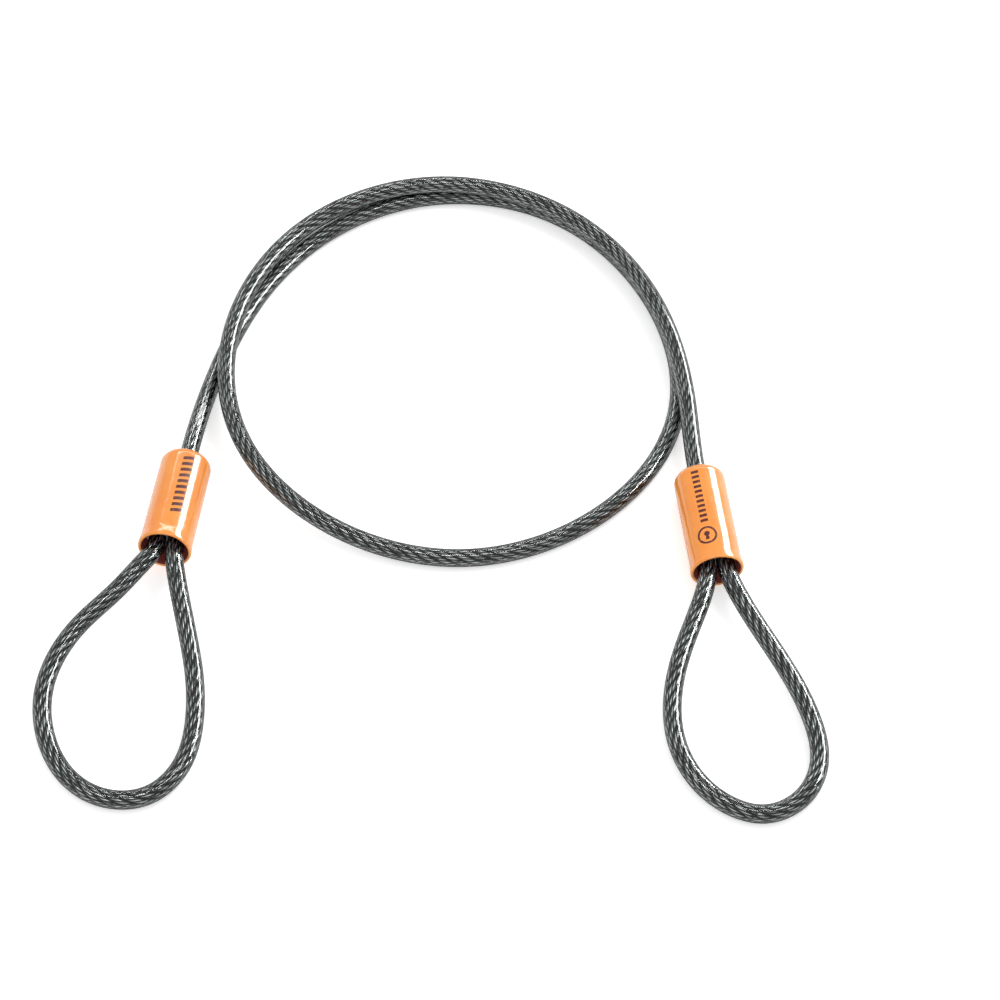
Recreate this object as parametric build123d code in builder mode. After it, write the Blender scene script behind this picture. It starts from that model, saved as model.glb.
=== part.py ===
from build123d import *
import os

os.makedirs("parts", exist_ok=True)

# Double-loop security cable, lying coiled on a flat surface.
# Millimetres, +Z up, origin at the centre of the footprint on the surface it rests on.
# The cable is a 7-strand wire rope in a clear vinyl jacket. Each end is turned back on
# itself into an eye and clamped by a ferrule under a sleeve. The sleeves' mouths and the
# eyes lie towards -Y. "Left" and "right" name the sleeves at -X and +X; the two runs of
# cable cross, so the left one sets out towards +X and the right one towards -X.

# --- cable ---
CABLE_R = 5.0                       # outside of the vinyl jacket
ROPE_BORE_R = CABLE_R - 1.0         # bore of the jacket
STRAND_R = 1.3
STRAND_PITCH_R = 2.64               # outer strands lie on this radius round the core strand
OUTER_STRANDS = 6
KINDS = ("jacket", "rope")          # each length of cable is made of these two pieces

# --- flexing knuckles between lengths of cable ---
NOSE_R = CABLE_R + 0.2              # round nose, about the bending axis
NOSE_OVERRUN = NOSE_R + 0.4         # cable swept past the axis, for the nose to be cut from
SOCKET_R = NOSE_R + 0.25            # hollow that turns on the nose, along the cable
SWING_SOCKET_R = NOSE_R + 0.4       # where the tail meets the sleeve: swings further
EYE_SOCKET_R = NOSE_R + 0.5         # where the eye leaves the sleeve: lifts furthest
CUT_HALF = 20.0                     # half the depth of a knuckle cut through one cable
PAIR_CUT_HALF = 30.0                # and through both legs of an eye
NOSE_CUT_LENGTH = 30.0              # block cut away beyond a nose
NOSE_CUT_WIDTH = 60.0

# --- twisting knuckle between the middle length and the right run ---
TWIST_AXIS = Vector(-0.98843, 0.15171, 0)   # along the cable, away from the middle length
TWIST_GAP = 0.3                     # between the two square faces
TWIST_STRAIGHT = 10.0               # straight part of the middle length
TWIST_CUT_R = CABLE_R + 2
TWIST_CUT_BACK = 2.0                # clears what the tilted start leaves behind the axis point

# --- sleeve, measured along its axis from the closed end ---
SLEEVE_LENGTH = 65.0
SLEEVE_R = 14.0
SLEEVE_BORE_R = SLEEVE_R - 1.6
SHOULDER_R = 5.5                    # rounding of the closed end, outside
SHOULDER_INNER_R = SHOULDER_R - 1.2
NECK_R = CABLE_R + 0.15             # closes round the single tail
NECK_LENGTH = 3.2
NECK_EXIT = NECK_LENGTH + 0.2       # the tail runs straight to here
LIP_R = SLEEVE_R + 0.6              # slightly flared mouth
MOUTH_BORE_R = SLEEVE_BORE_R + 0.4
FLARE_START = SLEEVE_LENGTH - 8
LIP_START = SLEEVE_LENGTH - 1       # the rim is rounded from here
PIVOT_BACK = 8.0                    # the tail bends this far behind the sleeve
EYE_PIVOT = SLEEVE_LENGTH + 8.0     # the eye bends here, beyond the mouth
LEG_OVERRUN = 9.0                   # leg swept past its pivot, for the nose to be cut from

# --- ferrule: two bores side by side ---
FERRULE_START = 29.0
FERRULE_LENGTH = 28.0
FERRULE_END = FERRULE_START + FERRULE_LENGTH
FERRULE_BORE_R = CABLE_R + 0.1
FERRULE_R = 6.9                     # outside of each barrel
FERRULE_CHAMFER = 0.6
LEG_HALF = 5.3                      # half the distance between the two bores

# --- stations: x, y, z on the cable's centre line ---
# Start, middle and end of each length, counted outwards from the middle length.
RUNS = {
    "left": [
        (29.45, -53.42, 5.24), (60.10, -45.19, 5.23), (87.90, -29.85, 5.23),
        (111.49, -8.59, 5.23), (129.39, 17.62, 5.23), (139.77, 47.59, 5.23),
        (141.28, 79.28, 5.23), (135.18, 110.46, 5.23), (123.03, 139.82, 5.23),
        (105.53, 166.34, 5.23), (82.79, 188.49, 5.23), (55.21, 204.17, 5.23),
        (24.39, 211.71, 5.23), (-7.31, 210.68, 5.23), (-37.53, 200.99, 5.23),
        (-64.41, 184.10, 5.23), (-86.85, 161.62, 5.23), (-104.33, 135.08, 5.23),
        (-117.34, 106.06, 5.23), (-130.33, 59.95, 7.63), (-137.61, 13.07, 13.67),
    ],
    "right": [
        (-6.42, -52.95, 5.83), (-21.08, -49.87, 6.49), (-35.32, -45.26, 7.36),
        (-62.72, -31.29, 9.57), (-86.45, -11.73, 11.93), (-104.88, 12.88, 13.97),
        (-116.28, 41.48, 15.19), (-120.48, 72.02, 15.43), (-118.06, 102.77, 15.43),
        (-109.45, 132.39, 15.43), (-94.85, 159.55, 15.43), (-74.37, 182.59, 15.43),
        (-48.81, 199.80, 15.43), (-19.75, 210.07, 15.43), (10.97, 212.30, 15.43),
        (41.21, 206.36, 15.43), (69.17, 193.37, 15.43), (93.39, 174.29, 15.43),
        (112.99, 150.47, 15.43), (127.77, 123.38, 15.43), (137.70, 94.16, 15.43),
        (145.09, 48.80, 15.37), (148.11, 2.91, 14.83),
    ],
}
# From the pivot of the leg at -X round to the pivot of the leg at +X.
EYES = {
    "left": [
        (-157.58, -65.83, 20.73), (-172.61, -84.64, 18.33), (-187.94, -103.21, 15.87),
        (-200.33, -123.77, 13.25), (-205.32, -147.14, 10.59), (-201.41, -170.78, 8.19),
        (-189.40, -191.52, 6.26), (-169.27, -204.33, 5.25), (-145.58, -203.01, 5.37),
        (-129.21, -185.98, 6.75), (-123.97, -162.58, 8.95), (-124.84, -138.57, 11.52),
        (-129.26, -114.95, 14.37), (-134.83, -91.60, 17.44), (-139.10, -68.01, 20.73),
    ],
    "right": [
        (149.24, -78.56, 14.83), (142.05, -100.56, 12.99), (134.85, -122.57, 11.20),
        (129.99, -145.19, 9.45), (130.30, -168.27, 7.79), (138.08, -189.97, 6.40),
        (153.74, -206.85, 5.50), (175.41, -214.00, 5.25), (195.82, -204.09, 5.65),
        (205.65, -183.54, 6.78), (203.53, -160.60, 8.31), (195.73, -138.81, 9.93),
        (185.32, -118.12, 11.58), (174.32, -97.73, 13.22), (164.72, -76.66, 14.83),
    ],
}
# side: centre of the sleeve's closed end, direction towards its mouth,
# and the side on which the tail becomes a leg (1 is towards +X)
SLEEVES = {
    "left": ((-138.55, 5.15, 14.37), (-0.11649, -0.98936, 0.08716), 1),
    "right": ((149.08, -5.03, 14.83), (0.12184, -0.99255, 0.00000), -1),
}

UP = Vector(0, 0, 1)


# ---------------------------------------------------------------------------
# Helpers
# ---------------------------------------------------------------------------
def write(part, name):
    part.label = name
    export_step(part, f"parts/{name}.step")


def flat(direction):
    """direction laid into the horizontal plane"""
    return Vector(direction.X, direction.Y, 0).normalized()


def sweep_cable(line, kind):
    """sweeps the jacket's ring or the rope's seven strands along a line"""
    path = line.wires()[0]
    heading = path % 0
    with BuildSketch(Plane(origin=path @ 0, x_dir=heading.cross(UP), z_dir=heading)) as section:
        if kind == "jacket":
            Circle(CABLE_R)
            Circle(ROPE_BORE_R, mode=Mode.SUBTRACT)
        else:
            Circle(STRAND_R)
            with PolarLocations(STRAND_PITCH_R, OUTER_STRANDS):
                Circle(STRAND_R)
    sweep(section.sketch.faces(), path=path)


def cut_socket(centre, axis, radius, half=CUT_HALF):
    """hollow about a bending axis through `centre`"""
    with BuildSketch(Plane(origin=centre, z_dir=axis)) as hollow:
        Circle(radius)
    extrude(hollow.sketch, amount=half, both=True, mode=Mode.SUBTRACT)


def cut_nose(centre, axis, outwards, half=CUT_HALF):
    """rounds the end beyond `centre` to a nose about the bending axis"""
    with BuildSketch(Plane(origin=centre, x_dir=outwards, z_dir=axis)) as beyond:
        with Locations((NOSE_CUT_LENGTH / 2, 0)):
            Rectangle(NOSE_CUT_LENGTH, NOSE_CUT_WIDTH)
        Circle(NOSE_R, mode=Mode.SUBTRACT)
    extrude(beyond.sketch, amount=half, both=True, mode=Mode.SUBTRACT)


def cut_square(centre, depth):
    """cuts a disc away from the twisting knuckle; positive depth is along its axis"""
    with BuildSketch(Plane(origin=centre, z_dir=TWIST_AXIS)) as disc:
        Circle(TWIST_CUT_R)
    extrude(disc.sketch, amount=depth, mode=Mode.SUBTRACT)


def draw_arcs(start, heading, finish, arrival):
    """two tangent arcs from one point and direction to another; returns the second"""
    gap = finish - start
    along = gap.dot(heading + arrival)
    spread = 2 * (1 - heading.dot(arrival))
    if spread < 1e-9:   # parallel directions
        reach = gap.dot(gap) / (4 * gap.dot(heading))
    else:
        reach = (-along + (along ** 2 + 2 * spread * gap.dot(gap)) ** 0.5) / (2 * spread)
    meet = (start + finish + (heading - arrival) * reach) * 0.5
    first = TangentArc(start, meet, tangent=heading)
    return TangentArc(meet, finish, tangent=first % 1)


def mirrored(heading, chord):
    """direction at the far end of an arc with this chord"""
    unit = chord.normalized()
    return (unit * (2 * unit.dot(heading)) - heading).normalized()


# ---------------------------------------------------------------------------
# Cable between the sleeves
# ---------------------------------------------------------------------------
def make_middle(kind):
    """middle length: a nose where the left run starts, square where the right one does"""
    nose_at = Vector(*RUNS["left"][0])
    twist_at = Vector(*RUNS["right"][0])
    with BuildPart() as piece:
        with BuildLine() as line:
            straight = Line(twist_at, twist_at - TWIST_AXIS * TWIST_STRAIGHT)
            bend = TangentArc(straight @ 1, nose_at, tangent=straight % 1)
            Line(bend @ 1, (bend @ 1) + (bend % 1) * NOSE_OVERRUN)
        sweep_cable(line, kind)
        cut_nose(nose_at, UP, flat(bend % 1))
        cut_square(twist_at, -TWIST_GAP / 2)
    return piece.part


def make_length(kind, start, middle, end, twists):
    """one length of a run: a socket, or a square face if it twists, then a nose"""
    with BuildPart() as piece:
        with BuildLine() as line:
            bend = ThreePointArc(start, middle, end)
            Line(bend @ 1, (bend @ 1) + (bend % 1) * NOSE_OVERRUN)
        sweep_cable(line, kind)
        if twists:
            cut_square(start, TWIST_GAP / 2)
            cut_square(start, -TWIST_CUT_BACK)
        else:
            cut_socket(start, UP, SOCKET_R)
        cut_nose(end, UP, flat(bend % 1))
    return piece.part


# ---------------------------------------------------------------------------
# Ends: sleeve, ferrule, the cable inside them, and the eye
# ---------------------------------------------------------------------------
class CableEnd:
    """layout of one end: `across` points towards +X, `axis` towards the sleeve's mouth"""

    def __init__(self, side):
        top, axis, self.tail_side = SLEEVES[side]
        self.top = Vector(*top)
        self.axis = Vector(*axis).normalized()
        self.across = Vector(-self.axis.Y, self.axis.X, 0).normalized()
        self.pivot = self.at(0, EYE_PIVOT)

        # the eye passes through every second station; those between set its headings
        stations = [Vector(*point) for point in EYES[side]]
        self.knots = stations[::2]
        near = (stations[2] - stations[0]).normalized()
        far = (stations[-1] - stations[-3]).normalized()
        self.headings = [
            mirrored(near, stations[1] - stations[0]),
            *(
                (stations[i + 1] - stations[i - 1]).normalized()
                for i in range(2, len(stations) - 1, 2)
            ),
            mirrored(far, stations[-1] - stations[-2]),
        ]

    def at(self, x, y):
        """point x across the sleeve and y along it from the closed end"""
        return self.top + self.across * x + self.axis * y

    def draw_leg(self, sign):
        """line through the ferrule's bore on one side and on past the eye's pivot"""
        if sign < 0:
            eye_end, away = self.knots[0], self.headings[0]
        else:
            eye_end, away = self.knots[-1], self.headings[-1] * -1
        # foot and heading of the leg, in the sleeve's plane
        foot = self.at((eye_end - self.top).dot(self.across), EYE_PIVOT)
        way = self.across * away.dot(self.across) + self.axis * away.dot(self.axis)
        way = way.normalized()
        x = sign * LEG_HALF
        Line(self.at(x, FERRULE_START), self.at(x, FERRULE_END))
        draw_arcs(self.at(x, FERRULE_END), self.axis, foot, way)
        Line(foot, foot + way * LEG_OVERRUN)


def make_sleeve(end):
    """closed shoulder round the tail, open flared mouth"""
    shoulder_y = NECK_LENGTH + SHOULDER_INNER_R
    shoulder_x = SLEEVE_BORE_R - SHOULDER_INNER_R
    # local X across the sleeve, local Y along it
    profile = Plane(origin=end.top, x_dir=end.across, z_dir=end.across.cross(end.axis))
    with BuildPart() as sleeve:
        with BuildSketch(profile):
            with BuildLine():
                # outside, towards the mouth
                Line((NECK_R, 0), (SLEEVE_R - SHOULDER_R, 0))
                TangentArc(
                    (SLEEVE_R - SHOULDER_R, 0), (SLEEVE_R, SHOULDER_R), tangent=(1, 0)
                )
                Line((SLEEVE_R, SHOULDER_R), (SLEEVE_R, FLARE_START))
                Spline(
                    (SLEEVE_R, FLARE_START), (LIP_R, LIP_START), tangents=((0, 1), (0, 1))
                )
                ThreePointArc(
                    (LIP_R, LIP_START),
                    ((LIP_R + MOUTH_BORE_R) / 2, SLEEVE_LENGTH),
                    (MOUTH_BORE_R, LIP_START),
                )
                # inside, back to the neck
                Spline(
                    (MOUTH_BORE_R, LIP_START),
                    (SLEEVE_BORE_R, FLARE_START),
                    tangents=((0, -1), (0, -1)),
                )
                Line((SLEEVE_BORE_R, FLARE_START), (SLEEVE_BORE_R, shoulder_y))
                TangentArc(
                    (SLEEVE_BORE_R, shoulder_y), (shoulder_x, NECK_LENGTH), tangent=(0, -1)
                )
                Line((shoulder_x, NECK_LENGTH), (NECK_R, NECK_LENGTH))
                Line((NECK_R, NECK_LENGTH), (NECK_R, 0))
            make_face()
        revolve(axis=Axis(tuple(end.top), tuple(end.axis)))
    return sleeve.part


def make_ferrule(end):
    """flattened double barrel with two bores"""
    base = Plane(origin=end.at(0, FERRULE_START), x_dir=end.across, z_dir=end.axis)
    with BuildPart() as ferrule:
        with BuildSketch(base):
            SlotCenterToCenter(2 * LEG_HALF, 2 * FERRULE_R)
            with Locations((-LEG_HALF, 0), (LEG_HALF, 0)):
                Circle(FERRULE_BORE_R, mode=Mode.SUBTRACT)
        extrude(amount=FERRULE_LENGTH)
        arcs = ferrule.edges().filter_by(GeomType.CIRCLE)
        chamfer(
            arcs.filter_by(lambda edge: abs(edge.radius - FERRULE_R) < 1e-3),
            length=FERRULE_CHAMFER,
        )
    return ferrule.part


def make_inside(end, kind):
    """cable in the sleeve: the tail, and the dead end cut flush with the ferrule"""
    with BuildPart() as inside:
        # tail, from behind the sleeve through the neck and one bore
        with BuildLine() as tail:
            Line(end.at(0, -PIVOT_BACK), end.at(0, NECK_EXIT))
            bore_start = end.at(end.tail_side * LEG_HALF, FERRULE_START)
            draw_arcs(end.at(0, NECK_EXIT), end.axis, bore_start, end.axis)
            end.draw_leg(end.tail_side)
        sweep_cable(tail, kind)
        with BuildLine() as dead_end:
            end.draw_leg(-end.tail_side)
        sweep_cable(dead_end, kind)
        cut_socket(end.at(0, -PIVOT_BACK), UP, SWING_SOCKET_R)
        cut_nose(end.pivot, end.across, end.axis, half=PAIR_CUT_HALF)
    return inside.part


def make_eye(end, kind):
    """loop of cable from one leg round to the other"""
    with BuildPart() as eye:
        with BuildLine() as line:
            heading = end.headings[0]
            for i in range(len(end.knots) - 1):
                last = draw_arcs(end.knots[i], heading, end.knots[i + 1], end.headings[i + 1])
                heading = last % 1
        sweep_cable(line, kind)
        cut_socket(end.pivot, end.across, EYE_SOCKET_R, half=PAIR_CUT_HALF)
    return eye.part


# ---------------------------------------------------------------------------
# Build every piece
# ---------------------------------------------------------------------------
for kind in KINDS:
    write(make_middle(kind), f"{kind}_middle")

for side, stations in RUNS.items():
    points = [Vector(*point) for point in stations]
    for i in range(len(points) // 2):
        twists = side == "right" and i == 0
        for kind in KINDS:
            length = make_length(kind, *points[2 * i: 2 * i + 3], twists)
            write(length, f"{kind}_{side}_{i + 1:02d}")

for side in SLEEVES:
    end = CableEnd(side)
    write(make_sleeve(end), f"sleeve_{side}")
    write(make_ferrule(end), f"ferrule_{side}")
    for kind in KINDS:
        write(make_inside(end, kind), f"{kind}_end_{side}")
        write(make_eye(end, kind), f"{kind}_eye_{side}")
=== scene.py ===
"""Coiled security cable: steel rope in clear vinyl, with an eye at each end whose two
legs meet in a pressed ferrule inside an orange sleeve.

The coil lies flat on the floor (z = 0). The sleeves leave it towards -Y, the eyes beyond
their mouths, and the camera looks down from the -Y side. Design sizes are in millimetres.
"""
import math

import bpy
import numpy as np
from mathutils import Matrix, Vector


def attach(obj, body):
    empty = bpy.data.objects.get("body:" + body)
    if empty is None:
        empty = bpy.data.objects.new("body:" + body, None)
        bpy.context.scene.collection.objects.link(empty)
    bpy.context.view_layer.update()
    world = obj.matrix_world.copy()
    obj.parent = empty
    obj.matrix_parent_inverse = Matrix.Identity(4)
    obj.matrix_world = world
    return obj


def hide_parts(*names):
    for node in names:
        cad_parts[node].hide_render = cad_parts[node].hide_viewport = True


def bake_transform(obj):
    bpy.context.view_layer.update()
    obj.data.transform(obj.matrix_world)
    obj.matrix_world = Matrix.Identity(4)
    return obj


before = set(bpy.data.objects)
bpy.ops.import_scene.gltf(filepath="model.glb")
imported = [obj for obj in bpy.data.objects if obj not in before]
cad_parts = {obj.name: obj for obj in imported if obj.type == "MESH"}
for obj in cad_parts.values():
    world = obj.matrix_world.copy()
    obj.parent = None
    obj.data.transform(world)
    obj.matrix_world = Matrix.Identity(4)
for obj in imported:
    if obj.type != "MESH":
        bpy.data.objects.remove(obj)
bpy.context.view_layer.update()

MM = 0.001

# Rope and jacket
CABLE_R = 5.08  # over the vinyl
JACKET_BORE_R = 4.66
JACKET_SIDES, JACKET_STEP = 40, 2.2
STRAND_PITCH_R = 2.98  # circle of the strands' centres
STRAND_R = 1.50  # over the wires of one strand
WIRE_R = STRAND_R / 3
VALLEY_REACH = 1.78  # strand's centre to the groove between two wires, in wire radii
STRAND_COUNT = 6
WIRE_COUNT = 6
SIDES_PER_WIRE = 4
STRAND_SIDES = WIRE_COUNT * SIDES_PER_WIRE
ROPE_LAY = 45.0  # one turn of a strand round the rope
WIRE_LAY = 26.0  # one turn of a wire round its strand, against the fixed section
STRAND_TURN = 0.7  # radians each strand's section is turned from the one before
ROPE_STEP = 1.2  # between rings of vertices
WIRE_TONE = np.random.default_rng(41).uniform(0, 1, (STRAND_COUNT + 1, WIRE_COUNT))

# Sleeves: distances along are measured from the closed end
SLEEVE_LENGTH, SLEEVE_R, SLEEVE_WALL = 65.0, 14.4, 1.8
SLEEVE_BORE_R = SLEEVE_R - SLEEVE_WALL
SLEEVE_SIDES = 128
NECK_R, NECK_LENGTH, NECK_CHAMFER = 5.15, 3.2, 0.35  # hole the tail passes through
END_FLAT_R = 7.0
SHOULDER_R = 5.5
SHOULDER_BORE_R = SHOULDER_R - 1.2
LIP_R, LIP_HEIGHT = 14.9, 1.0  # rounded edge of the mouth
LIP_START = SLEEVE_LENGTH - LIP_HEIGHT
FLARE_START, FLARE_LENGTH = SLEEVE_LENGTH - 8, 7
BORE_FLARE = 0.4  # how much the bore widens at the mouth
OUT_OF_TRUE = 0.0035  # ovality of the soft moulding, as a share of the radius

# Cable inside the sleeves
LEG_HALF = 5.3  # from the sleeve's axis to each leg
FERRULE_START = 29.0
FERRULE_STEPS = (0.0, 9.5, 19.0, 28.0)  # stations along the ferrule, end to end
LEG_SHORT_OF_MOUTH = 1.5  # the legs stay side by side this far
TAIL_SWING_PLACE = 16.1  # where the tail is halfway from the axis to its leg

# Stretches at the sleeves from which bend points are worked out
TAIL_BEND_BACK = 16  # begins this far up the cable from the last station
EYE_BEND = 23  # ends this far beyond the mouth

CAMERA = np.array([37.91, -854.24, 1203.56])

# ---------------------------------------------------------------------------
# Stations (x, y, z) on the cable's centre line. Each half of the coil is
# listed from the middle of the cable to its sleeve.
# ---------------------------------------------------------------------------
MIDDLE_STATION = (11.49, -54.46, 5.37)
STATIONS = {
    "left": [
        (29.45, -53.42, 5.24), (60.10, -45.19, 5.23), (87.90, -29.85, 5.23),
        (111.49, -8.59, 5.23), (129.39, 17.62, 5.23), (139.77, 47.59, 5.23),
        (141.28, 79.28, 5.23), (135.18, 110.46, 5.23), (123.03, 139.82, 5.23),
        (105.53, 166.34, 5.23), (82.79, 188.49, 5.23), (55.21, 204.17, 5.23),
        (24.39, 211.71, 5.23), (-7.31, 210.68, 5.23), (-37.53, 200.99, 5.23),
        (-64.41, 184.10, 5.23), (-86.85, 161.62, 5.23), (-104.33, 135.08, 5.23),
        (-117.34, 106.06, 5.23), (-130.33, 59.95, 7.63), (-137.61, 13.07, 13.67),
    ],
    "right": [
        (-6.42, -52.95, 5.83), (-21.08, -49.87, 6.49), (-35.32, -45.26, 7.36),
        (-62.72, -31.29, 9.57), (-86.45, -11.73, 11.93), (-104.88, 12.88, 13.97),
        (-116.28, 41.48, 15.19), (-120.48, 72.02, 15.43), (-118.06, 102.77, 15.43),
        (-109.45, 132.39, 15.43), (-94.85, 159.55, 15.43), (-74.37, 182.59, 15.43),
        (-48.81, 199.80, 15.43), (-19.75, 210.07, 15.43), (10.97, 212.30, 15.43),
        (41.21, 206.36, 15.43), (69.17, 193.37, 15.43), (93.39, 174.29, 15.43),
        (112.99, 150.47, 15.43), (127.77, 123.38, 15.43), (137.70, 94.16, 15.43),
        (145.09, 48.80, 15.37), (148.11, 2.91, 14.83),
    ],
}


def unit(vector):
    vector = np.asarray(vector, float)
    return vector / np.linalg.norm(vector)


class Sleeve:
    """Place of one sleeve, and the eye that leaves its mouth."""

    def __init__(self, top, axis, tail_side, eye):
        self.top = np.array(top)  # middle of the closed end
        self.axis = unit(axis)  # towards the mouth
        self.across = unit((-self.axis[1], self.axis[0], 0.0))  # towards +X
        self.tail_side = tail_side  # side of the leg that runs on into the coil
        self.eye = eye  # stations from the cut leg round to the tail's leg

    def point(self, x, along):
        return self.top + self.across * x + self.axis * along


SLEEVES = {
    "left": Sleeve(
        top=(-138.55, 5.15, 14.37),
        axis=(-0.11649, -0.98936, 0.08716),
        tail_side=1,
        eye=[
            (-155.98, -66.03, 20.73), (-171.41, -85.34, 18.33), (-187.94, -103.21, 15.87),
            (-200.33, -123.77, 13.25), (-205.32, -147.14, 10.59), (-201.41, -170.78, 8.19),
            (-189.40, -191.52, 6.26), (-169.27, -204.33, 5.25), (-145.58, -203.01, 5.37),
            (-129.21, -185.98, 6.75), (-123.97, -162.58, 8.95), (-124.84, -138.57, 11.52),
            (-129.26, -114.95, 14.37), (-134.83, -91.60, 17.44), (-139.80, -68.01, 20.73),
        ],
    ),
    "right": Sleeve(
        top=(149.08, -5.03, 14.83),
        axis=(0.12184, -0.99255, 0.0),
        tail_side=-1,
        eye=[
            (164.72, -76.66, 14.83), (174.32, -97.73, 13.22), (185.32, -118.12, 11.58),
            (195.73, -138.81, 9.93), (203.53, -160.60, 8.31), (205.65, -183.54, 6.78),
            (195.82, -204.09, 5.65), (175.41, -214.00, 5.25), (153.74, -206.85, 5.50),
            (138.08, -189.97, 6.40), (130.30, -168.27, 7.79), (129.99, -145.19, 9.45),
            (134.85, -122.57, 11.20), (142.85, -100.36, 12.99), (150.34, -78.36, 14.83),
        ],
    ),
}


# ---------------------------------------------------------------------------
# Centre line
# ---------------------------------------------------------------------------
def end_route(side):
    """(mark, point) pairs from the cut end, round the eye, to the sleeve's closed end."""
    sleeve = SLEEVES[side]
    tail = sleeve.tail_side
    places = [FERRULE_START + step for step in FERRULE_STEPS]
    places.append(SLEEVE_LENGTH - LEG_SHORT_OF_MOUTH)

    def leg(sign, name):
        points = [(None, sleeve.point(sign * LEG_HALF, along)) for along in places]
        points[0] = (f"{side}_{name}", points[0][1])
        return points

    return [
        *leg(-tail, "cut"),
        *((None, point) for point in sleeve.eye),
        *reversed(leg(tail, "foot")),
        (None, sleeve.point(tail * LEG_HALF * 0.5, TAIL_SWING_PLACE)),
        (None, sleeve.point(0, NECK_LENGTH)),
        (None, sleeve.point(0, 0)),
    ]


def cable_route():
    """The whole cable, from its cut end in the left ferrule to that in the right."""
    coil = {
        side: [(f"{side}_{i}", point) for i, point in enumerate(stations)]
        for side, stations in STATIONS.items()
    }
    return [
        *end_route("left"),
        *reversed(coil["left"]),
        ("middle", MIDDLE_STATION),
        *coil["right"],
        *reversed(end_route("right")),
    ]


def reflect(vector, across):
    return vector - (2 / (across @ across)) * (across @ vector) * across


class Line:
    """Natural cubic spline through the route, with a frame that does not spin."""

    def __init__(self, route, step=0.25):
        points = np.array([point for _, point in route])
        chords = np.linalg.norm(np.diff(points, axis=0), axis=1)
        knots = np.concatenate([[0], np.cumsum(chords)])
        at_knots = np.linspace(0, knots[-1], int(knots[-1] / step))
        self.points = self.spline(points, knots, at_knots)
        run = np.linalg.norm(np.diff(self.points, axis=0), axis=1)
        self.lengths = np.concatenate([[0], np.cumsum(run)])
        station_lengths = np.interp(knots, at_knots, self.lengths)
        self.marks = {
            mark: float(length) for (mark, _), length in zip(route, station_lengths) if mark
        }
        self.tangents = np.gradient(self.points, self.lengths, axis=0)
        self.tangents /= np.linalg.norm(self.tangents, axis=1)[:, None]
        self.normals = self.carried_normals()

    @staticmethod
    def spline(points, knots, samples):
        count, gap = len(knots), np.diff(knots)
        system, load = np.zeros((count, count)), np.zeros((count, 3))
        system[0, 0] = system[-1, -1] = 1
        for i in range(1, count - 1):
            system[i, i - 1 : i + 2] = gap[i - 1], 2 * (gap[i - 1] + gap[i]), gap[i]
            rise_after = (points[i + 1] - points[i]) / gap[i]
            rise_before = (points[i] - points[i - 1]) / gap[i - 1]
            load[i] = 6 * (rise_after - rise_before)
        second = np.linalg.solve(system, load)
        k = np.clip(np.searchsorted(knots, samples, side="right") - 1, 0, count - 2)
        width = gap[k][:, None]
        to_next = (knots[k + 1] - samples)[:, None]
        from_last = (samples - knots[k])[:, None]
        return (
            second[k] * to_next**3 / (6 * width)
            + second[k + 1] * from_last**3 / (6 * width)
            + (points[k] / width - second[k] * width / 6) * to_next
            + (points[k + 1] / width - second[k + 1] * width / 6) * from_last
        )

    def carried_normals(self):
        """Carry the first normal along by double reflection."""
        normals = np.zeros_like(self.points)
        normals[0] = unit(np.cross(self.tangents[0], (0, 0, 1.0)))
        for i in range(len(self.points) - 1):
            chord = self.points[i + 1] - self.points[i]
            normal = reflect(normals[i], chord)
            turn = self.tangents[i + 1] - reflect(self.tangents[i], chord)
            straight = turn @ turn < 1e-18
            normals[i + 1] = normal if straight else reflect(normal, turn)
        return normals

    def at(self, lengths):
        """Points, normals and binormals at distances along the line."""
        lengths = np.atleast_1d(np.asarray(lengths, float))

        def pick(values):
            columns = [np.interp(lengths, self.lengths, values[:, c]) for c in range(3)]
            return np.stack(columns, axis=1)

        points, tangents, normals = pick(self.points), pick(self.tangents), pick(self.normals)
        tangents /= np.linalg.norm(tangents, axis=1)[:, None]
        normals -= (normals * tangents).sum(1)[:, None] * tangents
        normals /= np.linalg.norm(normals, axis=1)[:, None]
        return points, normals, np.cross(tangents, normals)

    def rings(self, lengths, x, y):
        """Flat list of the section points (x, y) set square to the line at each length."""
        points, normals, binormals = self.at(lengths)
        placed = (
            points[:, None, :]
            + x[..., None] * normals[:, None, :]
            + y[..., None] * binormals[:, None, :]
        )
        return placed.reshape(-1, 3)


line = Line(cable_route())


# ---------------------------------------------------------------------------
# Mesh helpers
# ---------------------------------------------------------------------------
def new_object(name, verts, faces, materials, smooth_below, face_slots=None):
    """Smooth-shaded object from millimetre vertices; sharp above smooth_below degrees."""
    mesh = bpy.data.meshes.new(name)
    mesh.from_pydata((np.asarray(verts) * MM).tolist(), [], faces)
    for material in materials:
        mesh.materials.append(material)
    if face_slots is not None:
        mesh.polygons.foreach_set("material_index", np.asarray(face_slots, np.int32))
    mesh.polygons.foreach_set("use_smooth", np.ones(len(mesh.polygons), bool))
    mesh.validate()
    mesh.update()
    mesh.set_sharp_from_angle(angle=math.radians(smooth_below))
    obj = bpy.data.objects.new(name, mesh)
    bpy.context.scene.collection.objects.link(obj)
    return obj


def point_attribute(obj, name, values):
    attribute = obj.data.attributes.new(name, "FLOAT", "POINT")
    attribute.data.foreach_set("value", np.asarray(values, np.float32))


def grid_faces(first, rings, around, flip=False):
    faces = []
    for i in range(rings - 1):
        ring = first + i * around
        for k in range(around):
            n = (k + 1) % around
            quad = (ring + k, ring + n, ring + around + n, ring + around + k)
            faces.append(quad[::-1] if flip else quad)
    return faces


def ring_lengths(start, end, step):
    return np.linspace(start, end, max(3, int(round((end - start) / step)) + 1))


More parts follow.
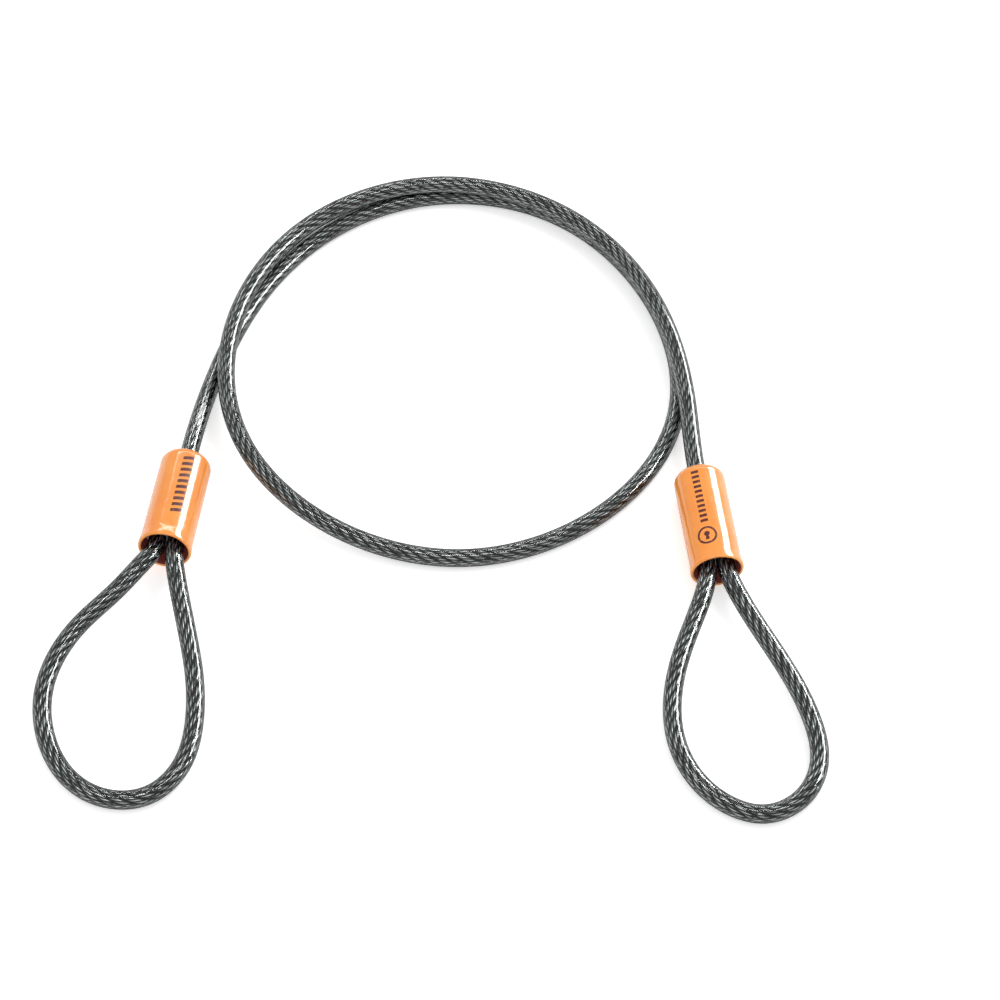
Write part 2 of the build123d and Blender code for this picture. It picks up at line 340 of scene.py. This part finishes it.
# ---------------------------------------------------------------------------
# Cable
# ---------------------------------------------------------------------------
def strand_section():
    """Reach from the strand's centre, crown height and wire number, corner by corner."""
    corner = np.arange(STRAND_SIDES)
    half_wire = math.pi / WIRE_COUNT
    # angle of each corner from the middle of its own wire
    beta = (
        (corner % SIDES_PER_WIRE) * (2 * math.pi / STRAND_SIDES) + half_wire
    ) % (2 * math.pi / WIRE_COUNT) - half_wire
    bulge = np.sqrt(np.maximum(WIRE_R**2 - (2 * WIRE_R * np.sin(beta)) ** 2, 0))
    reach = 2 * WIRE_R * np.cos(beta) + bulge
    valley = np.isclose(np.abs(beta), half_wire)
    reach[valley] = VALLEY_REACH * WIRE_R
    crown = np.where(valley, 0.0, np.where(np.isclose(beta, 0), 1.0, 0.86))
    wire = ((corner + SIDES_PER_WIRE // 2) // SIDES_PER_WIRE) % WIRE_COUNT
    return reach, crown, wire


def rope_mesh(name, start, end, material):
    """Six outer strands round a core strand, each a bundle of six wires.

    The wires are laid against the strands, as in ordinary rope.
    """
    lengths = ring_lengths(start, end, ROPE_STEP)
    reach, crown, wire = strand_section()
    corner = np.arange(STRAND_SIDES)
    strand_size = len(lengths) * STRAND_SIDES
    verts, faces = [], []
    fields = {"wire_tone": [], "wire_height": [], "rope_radius": [], "cable_run": []}
    for strand in range(STRAND_COUNT + 1):
        pitch_r = 0.0 if strand == STRAND_COUNT else STRAND_PITCH_R  # the last is the core
        phi = 2 * math.pi * strand / STRAND_COUNT + 2 * math.pi * lengths / ROPE_LAY
        centre_x, centre_y = pitch_r * np.cos(phi), pitch_r * np.sin(phi)
        alpha = (
            2 * math.pi * corner[None, :] / STRAND_SIDES
            - 2 * math.pi * lengths[:, None] / WIRE_LAY
            + strand * STRAND_TURN
        )
        x = centre_x[:, None] + reach[None, :] * np.cos(alpha)
        y = centre_y[:, None] + reach[None, :] * np.sin(alpha)
        verts.append(line.rings(lengths, x, y))
        first = strand * strand_size
        last = first + strand_size - STRAND_SIDES
        faces += grid_faces(first, len(lengths), STRAND_SIDES)
        faces.append(tuple(range(first, first + STRAND_SIDES))[::-1])
        faces.append(tuple(range(last, last + STRAND_SIDES)))
        fields["wire_tone"].append(np.broadcast_to(WIRE_TONE[strand][wire], x.shape).ravel())
        fields["wire_height"].append(np.broadcast_to(crown, x.shape).ravel())
        fields["rope_radius"].append(np.hypot(x, y).ravel())
        fields["cable_run"].append(np.broadcast_to(lengths[:, None], x.shape).ravel())
    obj = new_object(name, np.concatenate(verts), faces, [material], smooth_below=50)
    for field, values in fields.items():
        point_attribute(obj, field, np.concatenate(values))
    return obj


def jacket_mesh(name, start, end, materials):
    """Tube of clear vinyl (slot 0); its bore and ends take slot 1."""
    lengths = ring_lengths(start, end, JACKET_STEP)
    rings, around = len(lengths), JACKET_SIDES
    angle = 2 * math.pi * np.arange(around) / around
    verts = [
        line.rings(lengths, radius * np.cos(angle)[None, :], radius * np.sin(angle)[None, :])
        for radius in (CABLE_R, JACKET_BORE_R)
    ]
    size = rings * around
    last = size - around
    faces = grid_faces(0, rings, around)
    outer_count = len(faces)
    faces += grid_faces(size, rings, around, flip=True)
    for k in range(around):
        n = (k + 1) % around
        faces.append((k, size + k, size + n, n))
        faces.append((last + n, size + last + n, size + last + k, last + k))
    slots = [0] * outer_count + [1] * (len(faces) - outer_count)
    obj = new_object(
        name, np.concatenate(verts), faces, materials, smooth_below=60, face_slots=slots
    )
    point_attribute(obj, "cable_run", np.tile(np.repeat(lengths, around), 2))
    return obj


def cable_piece(tag, ends, replaced, steel, vinyl):
    """Rope and jacket between two marks; the CAD lengths they stand for are hidden."""
    start, end = sorted(ends)
    rope = rope_mesh(f"strands_{tag}", start, end, steel)
    skin = jacket_mesh(f"vinyl_{tag}", start, end, vinyl)
    for obj, kind, slot in ((rope, "rope", "steel_rope"), (skin, "jacket", "vinyl_jacket")):
        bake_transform(obj)
        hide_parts(*[f"{kind}_{node}" for node in replaced])


def build_cable(side, steel, vinyl):
    """Half the cable: each piece runs from the middle of one CAD length to the next."""
    stations, sleeve = STATIONS[side], SLEEVES[side]
    last_mark, last_point, last_body = line.marks["middle"], MIDDLE_STATION, "cable_middle"
    for i in range((len(stations) - 1) // 2):
        centre = 2 * i + 1
        mark, point = line.marks[f"{side}_{centre}"], stations[centre]
        number = f"{i + 1:02d}"
        body = f"{side}_cable_{number}"
        replaced = [f"{side}_{number}"]
        if i == 0 and side == "left":
            replaced.append("middle")
        cable_piece(
            f"{side}_{number}", (last_mark, mark),
            replaced, steel, vinyl,
        )
        last_mark, last_point, last_body = mark, point, body

    # tail: bends behind the sleeve, and runs on inside to the ferrule
    foot, cut = line.marks[f"{side}_foot"], line.marks[f"{side}_cut"]
    towards_coil = 1 if side == "left" else -1
    hinge = line.marks[f"{side}_{len(stations) - 1}"]
    bend_start = line.at(hinge + towards_coil * TAIL_BEND_BACK)[0][0]
    cable_piece(
        f"{side}_tail", (last_mark, foot),
        [f"end_{side}"], steel, vinyl,
    )
    # eye: both legs bend just beyond the sleeve's mouth
    bend = sleeve.point(0, SLEEVE_LENGTH), sleeve.point(0, SLEEVE_LENGTH + EYE_BEND)
    cable_piece(
        f"{side}_eye", (cut, foot),
        [f"eye_{side}"], steel, vinyl,
    )


# ---------------------------------------------------------------------------
# Sleeves: a moulded shell, closed round the tail, open at the flared mouth
# ---------------------------------------------------------------------------
def arc(centre, radii, degrees, count):
    return [
        (
            centre[0] + radii[0] * math.cos(math.radians(angle)),
            centre[1] + radii[1] * math.sin(math.radians(angle)),
        )
        for angle in np.linspace(*degrees, count)
    ]


def flared(radius, widening, along):
    share = (along - FLARE_START) / FLARE_LENGTH
    return radius + widening * share * share * (3 - 2 * share), along


def sleeve_profile():
    """(radius, along) pairs: the outside with the lip, then the inside."""
    outside = [(NECK_R, NECK_CHAMFER), (NECK_R + NECK_CHAMFER, 0.0), (END_FLAT_R, 0.0)]
    outside += arc((SLEEVE_R - SHOULDER_R, SHOULDER_R), (SHOULDER_R, SHOULDER_R), (-90, 0), 14)
    outside += [(SLEEVE_R, along) for along in np.linspace(7, FLARE_START, 42)]
    for along in np.linspace(FLARE_START + 1, LIP_START, 9):
        outside.append(flared(SLEEVE_R, LIP_R - SLEEVE_R, along))
    mouth_r = SLEEVE_BORE_R + BORE_FLARE
    lip_half = (LIP_R - mouth_r) / 2
    outside += arc((mouth_r + lip_half, LIP_START), (lip_half, LIP_HEIGHT), (20, 160), 9)

    inside = [
        flared(SLEEVE_BORE_R, BORE_FLARE, along)
        for along in np.linspace(LIP_START, FLARE_START, 6)
    ]
    bore_end = NECK_LENGTH + SHOULDER_BORE_R
    inside += [(SLEEVE_BORE_R, along) for along in np.linspace(SLEEVE_LENGTH - 14, bore_end, 14)]
    inside += arc(
        (SLEEVE_BORE_R - SHOULDER_BORE_R, bore_end),
        (SHOULDER_BORE_R, SHOULDER_BORE_R),
        (0, -90),
        8,
    )[1:]
    inside.append((NECK_R, NECK_LENGTH))
    return outside, inside


def build_sleeve(side, materials, print_shift):
    """print_shift moves the print round the sleeve, in mm on its surface."""
    sleeve = SLEEVES[side]
    outside, inside = sleeve_profile()
    profile = outside + inside
    up = unit(CAMERA - sleeve.point(0, SLEEVE_LENGTH / 2))
    up = unit(up - (up @ sleeve.axis) * sleeve.axis)  # faces the camera
    sideways = np.cross(up, sleeve.axis)  # towards +X
    verts, along_values, round_values = [], [], []
    for radius, along in profile:
        ramp_in = min(1, max(0, (along - 4) / 20))  # the closed end stays round
        for k in range(SLEEVE_SIDES):
            turn = 2 * math.pi * k / SLEEVE_SIDES - math.pi
            oval_r = radius * (1 + OUT_OF_TRUE * math.cos(2 * turn + 0.6) * ramp_in)
            verts.append(
                sleeve.top
                + sleeve.axis * along
                + up * oval_r * math.cos(turn)
                + sideways * oval_r * math.sin(turn)
            )
            along_values.append(along)
            round_values.append(turn * SLEEVE_R - print_shift)
    faces, slots = [], []
    lining_start = len(outside) - 2  # the lining begins on the lip's inner edge
    for i in range(len(profile)):
        ring, following = i * SLEEVE_SIDES, (i + 1) % len(profile) * SLEEVE_SIDES
        for k in range(SLEEVE_SIDES):
            n = (k + 1) % SLEEVE_SIDES
            faces.append((ring + k, following + k, following + n, ring + n))
            slots.append(1 if i >= lining_start else 0)
    obj = new_object(
        f"sleeve_shell_{side}", verts, faces, materials, smooth_below=40, face_slots=slots
    )
    point_attribute(obj, "sleeve_along", along_values)
    point_attribute(obj, "sleeve_round", round_values)
    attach(obj, f"{side}_end")
    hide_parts(f"sleeve_{side}")


def finish_ferrule(side, material):
    """The pressed ferrules keep their CAD shape."""
    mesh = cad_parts[f"ferrule_{side}"].data
    mesh.materials.clear()
    mesh.materials.append(material)
    mesh.polygons.foreach_set("material_index", np.zeros(len(mesh.polygons), np.int32))


# ---------------------------------------------------------------------------
# Materials (lengths inside bump and subsurface nodes are in metres)
# ---------------------------------------------------------------------------
class Nodes:
    """Builds one material's node tree."""

    def __init__(self, name):
        self.material = bpy.data.materials.new(name)
        self.material.use_nodes = True
        self.tree = self.material.node_tree
        self.tree.nodes.clear()
        self.out = self.tree.nodes.new("ShaderNodeOutputMaterial")

    def add(self, kind, inputs=None, **settings):
        node = self.tree.nodes.new(kind)
        for key, value in settings.items():
            setattr(node, key, value)
        for key, value in (inputs or {}).items():
            self.put(node.inputs[key], value)
        return node

    def put(self, socket, value):
        """Link a socket, or set its value; colours are given as RGB."""
        if isinstance(value, bpy.types.NodeSocket):
            self.tree.links.new(value, socket)
        else:
            socket.default_value = (*value, 1) if socket.type == "RGBA" else value

    def shader(self, kind, inputs):
        return self.add(kind, inputs).outputs[0]

    def math(self, operation, *values):
        node = self.add("ShaderNodeMath", dict(enumerate(values)), operation=operation)
        return node.outputs[0]

    def within(self, value, reach):
        return self.math("LESS_THAN", self.math("ABSOLUTE", value), reach)

    def between(self, value, low, high):
        above = self.math("GREATER_THAN", value, low)
        return self.math("MULTIPLY", above, self.math("LESS_THAN", value, high))

    def distance(self, x, y):
        squares = self.math("MULTIPLY", x, x), self.math("MULTIPLY", y, y)
        return self.math("SQRT", self.math("ADD", *squares))

    def weighted(self, first, first_weight, second, second_weight):
        return self.math(
            "ADD",
            self.math("MULTIPLY", first, first_weight),
            self.math("MULTIPLY", second, second_weight),
        )

    def add_scaled(self, value, extra, weight):
        return self.math("ADD", value, self.math("MULTIPLY", extra, weight))

    def attribute(self, name):
        return self.add("ShaderNodeAttribute", attribute_name=name).outputs["Fac"]

    def noise(self, scale, detail, roughness=0.5):
        place = self.add("ShaderNodeTexCoord").outputs["Object"]
        inputs = {"Scale": scale, "Detail": detail, "Roughness": roughness, "Vector": place}
        return self.add("ShaderNodeTexNoise", inputs).outputs["Fac"]

    def ramp(self, value, stops):
        node = self.add("ShaderNodeValToRGB", {"Fac": value})
        elements = node.color_ramp.elements
        while len(elements) < len(stops):
            elements.new(0.5)
        for element, (place, colour) in zip(elements, stops):
            element.position = place
            element.color = (*colour, 1)
        return node.outputs["Color"]

    def remap(self, value, source, target=(0, 1)):
        inputs = {
            "Value": value,
            "From Min": source[0], "From Max": source[1],
            "To Min": target[0], "To Max": target[1],
        }
        return self.add("ShaderNodeMapRange", inputs).outputs["Result"]

    def mix_colour(self, factor, first, second):
        inputs = {0: factor, 6: first, 7: second}  # the colour sockets are 6 and 7
        return self.add("ShaderNodeMix", inputs, data_type="RGBA").outputs[2]

    def bump(self, height, distance, strength, normal=None):
        inputs = {"Height": height, "Distance": distance, "Strength": strength}
        if normal is not None:
            inputs["Normal"] = normal
        return self.add("ShaderNodeBump", inputs).outputs["Normal"]

    def surface(self, shader):
        self.tree.links.new(shader, self.out.inputs["Surface"])
        return self.material


def steel_material():
    """Wire colour on the crowns, with painted shade in the grooves and towards the rope's core.
    """
    mat = Nodes("galvanised_wire")
    tone = mat.attribute("wire_tone")
    # Painted shade mask: 0 in the grooves between wires and deep towards the rope's core, 1 on
    # the outer crowns
    on_crown = mat.remap(mat.attribute("wire_height"), source=(0.62, 1.0))
    near_skin = mat.remap(
        mat.attribute("rope_radius"), source=(3.60, 4.25), target=(0.03, 1.0)
    )
    lit = mat.math("MULTIPLY", on_crown, near_skin)
    grain = mat.noise(scale=900, detail=3)
    # Painted glints: fine noise breaks each wire into brighter and darker dashes along its
    # length
    glint_patch = mat.remap(mat.noise(scale=340, detail=2), source=(0.36, 0.64))
    scratch = mat.noise(scale=2600, detail=2)
    # Each wire's own random tone, half and half with the painted glint dashes
    value = mat.weighted(tone, first_weight=0.5, second=glint_patch, second_weight=0.5)
    stops = [
        (0.22, (0.13, 0.138, 0.136)),
        (0.5, (0.80, 0.87, 0.855)),
        (0.64, (0.94, 1.0, 0.99)),
    ]
    # Painted shade: where the mask falls, the wire colour goes to near black
    shaded = mat.mix_colour(lit, first=(0.010, 0.012, 0.012), second=mat.ramp(value, stops))
    grime = mat.remap(grain, source=(0.35, 0.75), target=(0.0, 0.35))
    wear = mat.weighted(grain, first_weight=0.6, second=tone, second_weight=0.4)
    return mat.surface(mat.shader("ShaderNodeBsdfPrincipled", {
        "Base Color": mat.mix_colour(grime, first=shaded, second=(0.05, 0.05, 0.052)),
        "Metallic": 0.48,
        "Roughness": mat.remap(wear, source=(0.2, 0.9), target=(0.16, 0.28)),
        "Normal": mat.bump(scratch, distance=0.00004, strength=0.5),
    }))


def vinyl_material():
    """Clear jacket: the rope shows through it, its skin mirrors like glass."""
    mat = Nodes("clear_vinyl")
    ripple = mat.noise(scale=38, detail=2)
    fine = mat.noise(scale=420, detail=2)
    scuff = mat.noise(scale=150, detail=4, roughness=0.7)
    extra_roughness = 0.0  # raises the whole skin's roughness
    skin_roughness = mat.remap(scuff, source=(0.55, 0.8), target=(0.035, 0.13))
    ripple_weight, fine_weight = 1.0, 0.06  # shares of the bump's height
    height = mat.weighted(ripple, ripple_weight, fine, fine_weight)
    normal = mat.bump(height, distance=0.00045, strength=0.6)
    tint = mat.mix_colour(
        mat.remap(ripple, source=(0.3, 0.7)),
        first=(0.95, 0.965, 0.96),
        second=(0.98, 0.99, 0.985),
    )
    clear = mat.shader("ShaderNodeBsdfTransparent", {"Color": tint})
    gloss = mat.shader("ShaderNodeBsdfGlossy", {
        "Color": (1, 1, 1),
        "Roughness": mat.math("ADD", skin_roughness, extra_roughness),
        "Normal": normal,
    })
    haze = mat.shader("ShaderNodeBsdfDiffuse", {"Color": (0.33, 0.35, 0.35), "Normal": normal})
    fresnel = mat.shader("ShaderNodeFresnel", {"IOR": 1.53, "Normal": normal})
    haziness = mat.remap(scuff, source=(0.5, 0.85), target=(0.008, 0.06))
    body = mat.shader("ShaderNodeMixShader", {0: haziness, 1: clear, 2: haze})
    return mat.surface(mat.shader("ShaderNodeMixShader", {0: fresnel, 1: body, 2: gloss}))


def bonded_material():
    """Where the vinyl is fused to the wires there is nothing to see."""
    mat = Nodes("vinyl_bore")
    return mat.surface(mat.shader("ShaderNodeBsdfTransparent", {"Color": (1, 1, 1)}))


def bars_mask(mat, along, round_, start, end, count, half_height, slant):
    """Row of bars along the sleeve, slanting if slant is not 0."""
    half_bar = 0.27  # share of the pitch
    pitch = (end - start) / count
    place = mat.math("ADD", along, mat.math("MULTIPLY", round_, slant))
    cell = mat.math("FRACT", mat.math("DIVIDE", mat.math("SUBTRACT", place, start), pitch))
    bar = mat.within(mat.math("SUBTRACT", cell, 0.5), half_bar)
    bars = mat.math("MULTIPLY", bar, mat.between(place, start, end))
    return mat.math("MULTIPLY", bars, mat.within(round_, half_height))


def keyhole_mask(mat, along, round_, centre, radius):
    """Ring round a keyhole whose stem widens towards the mouth."""
    ring_bore = radius * 0.78
    head_place, head_radius = -radius * 0.16, radius * 0.28
    stem_half, stem_widening, stem_length = radius * 0.07, 0.22, radius * 0.66

    from_centre = mat.math("SUBTRACT", along, centre)
    far = mat.distance(from_centre, round_)
    ring = mat.math(
        "MULTIPLY",
        mat.math("LESS_THAN", far, radius),
        mat.math("GREATER_THAN", far, ring_bore),
    )
    from_head = mat.math("SUBTRACT", from_centre, head_place)
    head = mat.math("LESS_THAN", mat.distance(from_head, round_), head_radius)
    half_width = mat.math("ADD", mat.math("MULTIPLY", from_head, stem_widening), stem_half)
    stem = mat.math(
        "MULTIPLY",
        mat.within(round_, half_width),
        mat.between(from_head, 0.0, stem_length),
    )
    return mat.math("MAXIMUM", ring, mat.math("MAXIMUM", head, stem))


def print_mask(mat, side, along, round_):
    """Printed marks, in mm along and round the sleeve."""
    if side == "left":
        return bars_mask(
            mat, along, round_, start=7.0, end=49.0, count=10, half_height=3.0, slant=0.25
        )
    return mat.math(
        "MAXIMUM",
        bars_mask(mat, along, round_, start=5.5, end=41.5, count=11, half_height=2.1, slant=0.0),
        keyhole_mask(mat, along, round_, centre=49.6, radius=5.6),
    )


def sleeve_material(side):
    """Glossy orange vinyl, paler where its two ends are rubbed, with worn dark print."""
    mat = Nodes(f"orange_vinyl_{side}")
    along = mat.attribute("sleeve_along")
    round_ = mat.attribute("sleeve_round")
    cloud = mat.noise(scale=70, detail=3)
    speck = mat.noise(scale=1500, detail=2)
    ripple = mat.noise(scale=120, detail=3, roughness=0.55)
    base = mat.mix_colour(
        mat.remap(cloud, source=(0.3, 0.7)),
        first=(0.84, 0.255, 0.034),
        second=(0.87, 0.310, 0.050),
    )
    speckle = mat.remap(speck, source=(0.62, 0.8), target=(0, 0.25))
    base = mat.mix_colour(speckle, first=base, second=(0.78, 0.17, 0.010))
    edge = mat.math(
        "ADD",
        mat.remap(along, source=(0, 2.5), target=(1, 0)),
        mat.remap(along, source=(62, 65)),
    )
    rub_noise = mat.noise(scale=300, detail=4, roughness=0.7)
    rubbed = mat.remap(rub_noise, source=(0.42, 0.62), target=(0, 0.55))
    base = mat.mix_colour(
        mat.math("MULTIPLY", edge, rubbed), first=base, second=(0.96, 0.46, 0.12)
    )
    wear_noise = mat.noise(scale=650, detail=4, roughness=0.65)
    worn = mat.remap(wear_noise, source=(0.60, 0.70), target=(1.0, 0.35))
    mask = mat.math("MULTIPLY", print_mask(mat, side, along, round_), worn)
    scuff_noise = mat.noise(scale=210, detail=4, roughness=0.7)
    scuff = mat.remap(scuff_noise, source=(0.45, 0.8), target=(0.16, 0.34))
    ripple_weight, speck_weight = 1.0, 0.03  # shares of the bump's height
    height = mat.weighted(ripple, ripple_weight, speck, speck_weight)
    normal = mat.bump(height, distance=0.0005, strength=0.5)
    coat, coat_lost_to_print = 0.6, 0.55
    return mat.surface(mat.shader("ShaderNodeBsdfPrincipled", {
        "Base Color": mat.mix_colour(mask, first=base, second=(0.085, 0.010, 0.004)),
        "Roughness": mat.add_scaled(scuff, mask, weight=0.12),
        "IOR": 1.53,
        "Subsurface Weight": 0.12,
        "Subsurface Radius": (0.004, 0.0012, 0.0004),
        "Subsurface Scale": 0.5,
        "Coat Weight": mat.math(
            "SUBTRACT", coat, mat.math("MULTIPLY", mask, coat_lost_to_print)
        ),
        "Coat Roughness": 0.06,
        "Normal": mat.bump(mask, distance=0.00003, strength=0.6, normal=normal),
    }))


def lining_material():
    mat = Nodes("sleeve_lining")
    cloud = mat.noise(scale=160, detail=3)
    return mat.surface(mat.shader("ShaderNodeBsdfPrincipled", {
        "Base Color": mat.mix_colour(
            mat.remap(cloud, source=(0.3, 0.7)),
            first=(0.30, 0.060, 0.060),
            second=(0.46, 0.095, 0.070),
        ),
        "Roughness": mat.remap(cloud, source=(0.3, 0.7), target=(0.35, 0.6)),
        "Normal": mat.bump(mat.noise(scale=500, detail=3), distance=0.0002, strength=0.5),
    }))


def ferrule_material():
    mat = Nodes("pressed_aluminium")
    cloud = mat.noise(scale=220, detail=4, roughness=0.6)
    fine = mat.noise(scale=1400, detail=2)
    height = mat.add_scaled(cloud, fine, weight=0.2)
    return mat.surface(mat.shader("ShaderNodeBsdfPrincipled", {
        "Base Color": mat.ramp(cloud, [(0.3, (0.42, 0.42, 0.43)), (0.7, (0.66, 0.66, 0.67))]),
        "Metallic": 1.0,
        "Roughness": mat.remap(fine, source=(0.3, 0.7), target=(0.28, 0.5)),
        "Normal": mat.bump(height, distance=0.0003, strength=0.6),
    }))


def floor_material():
    """White paper that glows a little, to the camera only."""
    mat = Nodes("paper_floor")
    glow = 0.42
    paper = mat.shader("ShaderNodeBsdfPrincipled", {
        "Base Color": (0.93, 0.93, 0.93), "Roughness": 0.9, "Specular IOR Level": 0.1,
    })
    seen = mat.add("ShaderNodeLightPath").outputs["Is Camera Ray"]
    light = mat.shader("ShaderNodeEmission", {
        "Color": (1, 1, 1), "Strength": mat.math("MULTIPLY", seen, glow),
    })
    return mat.surface(mat.shader("ShaderNodeAddShader", {0: paper, 1: light}))


# ---------------------------------------------------------------------------
# Stage, lights, camera (in metres)
# ---------------------------------------------------------------------------
LAMP_AIM = (0.02, 0.0, 0.0)


def build_floor(half=3.0, drop=0.0002):
    """Square floor, a hair below the cable."""
    mesh = bpy.data.meshes.new("floor")
    corners = [(-half, -half, 0), (half, -half, 0), (half, half, 0), (-half, half, 0)]
    mesh.from_pydata(corners, [], [(0, 1, 2, 3)])
    mesh.materials.append(floor_material())
    floor = bpy.data.objects.new("floor", mesh)
    floor.location.z = -drop
    bpy.context.scene.collection.objects.link(floor)


def build_world(fill=0.96, fill_gloss=0.58):
    """White surroundings, dimmer in mirror reflections."""
    world = bpy.data.worlds.new("studio")
    bpy.context.scene.world = world
    world.use_nodes = True
    tree = world.node_tree
    background = tree.nodes["Background"]
    background.inputs["Color"].default_value = (1.0, 1.0, 1.0, 1)
    paths = tree.nodes.new("ShaderNodeLightPath")
    dim = tree.nodes.new("ShaderNodeMapRange")
    dim.inputs["To Min"].default_value = fill
    dim.inputs["To Max"].default_value = fill_gloss
    tree.links.new(paths.outputs["Is Glossy Ray"], dim.inputs["Value"])
    tree.links.new(dim.outputs["Result"], background.inputs["Strength"])


def softbox(name, place, length_way, width, length, watts, diffuse=True, glossy=True):
    """Area lamp aimed at the product, its length lying as near length_way as it can."""
    data = bpy.data.lights.new(name, "AREA")
    data.shape = "RECTANGLE"
    data.size, data.size_y = width, length
    data.energy = watts
    lamp = bpy.data.objects.new(name, data)
    back = (Vector(place) - Vector(LAMP_AIM)).normalized()
    along = Vector(length_way)
    along = (along - back * along.dot(back)).normalized()
    turn = Matrix((along.cross(back), along, back)).transposed().to_4x4()
    lamp.matrix_world = Matrix.Translation(place) @ turn
    lamp.visible_diffuse = diffuse
    lamp.visible_glossy = glossy
    bpy.context.scene.collection.objects.link(lamp)


def build_lights():
    softbox("key", place=(0.50, 0.42, 0.90), length_way=(0.29, 0.956, 0),
            width=0.26, length=0.9, watts=5.0, glossy=False)
    softbox("key_gloss", place=(1.20, 0.55, 0.70), length_way=(0, 1, 0),
            width=0.55, length=1.6, watts=50.0, diffuse=False)
    softbox("back_gloss", place=(0.00, 1.10, 0.85), length_way=(1, 0, 0),
            width=0.10, length=1.4, watts=4.0, diffuse=False)
    softbox("top_gloss", place=(0.00, -0.10, 1.35), length_way=(1, 0, 0),
            width=0.12, length=1.2, watts=4.5, diffuse=False)


def build_camera():
    data = bpy.data.cameras.new("camera")
    data.lens = 93.6
    data.sensor_width = 36.0
    data.clip_start = 0.05
    camera = bpy.data.objects.new("camera", data)
    camera.location = tuple(CAMERA * MM)
    camera.rotation_euler = (math.radians(35.0), 0.0, 0.0)
    scene = bpy.context.scene
    scene.collection.objects.link(camera)
    scene.camera = camera
    scene.view_settings.view_transform = "Standard"
    scene.view_settings.look = "None"


steel = steel_material()
vinyl = [vinyl_material(), bonded_material()]
lining = lining_material()
aluminium = ferrule_material()
for side in SLEEVES:
    build_cable(side, steel, vinyl)
for side, print_shift in (("left", 0.5), ("right", -1.5)):
    build_sleeve(side, [sleeve_material(side), lining], print_shift)
for side in SLEEVES:
    finish_ferrule(side, aluminium)
build_floor()
build_world()
build_lights()
build_camera()
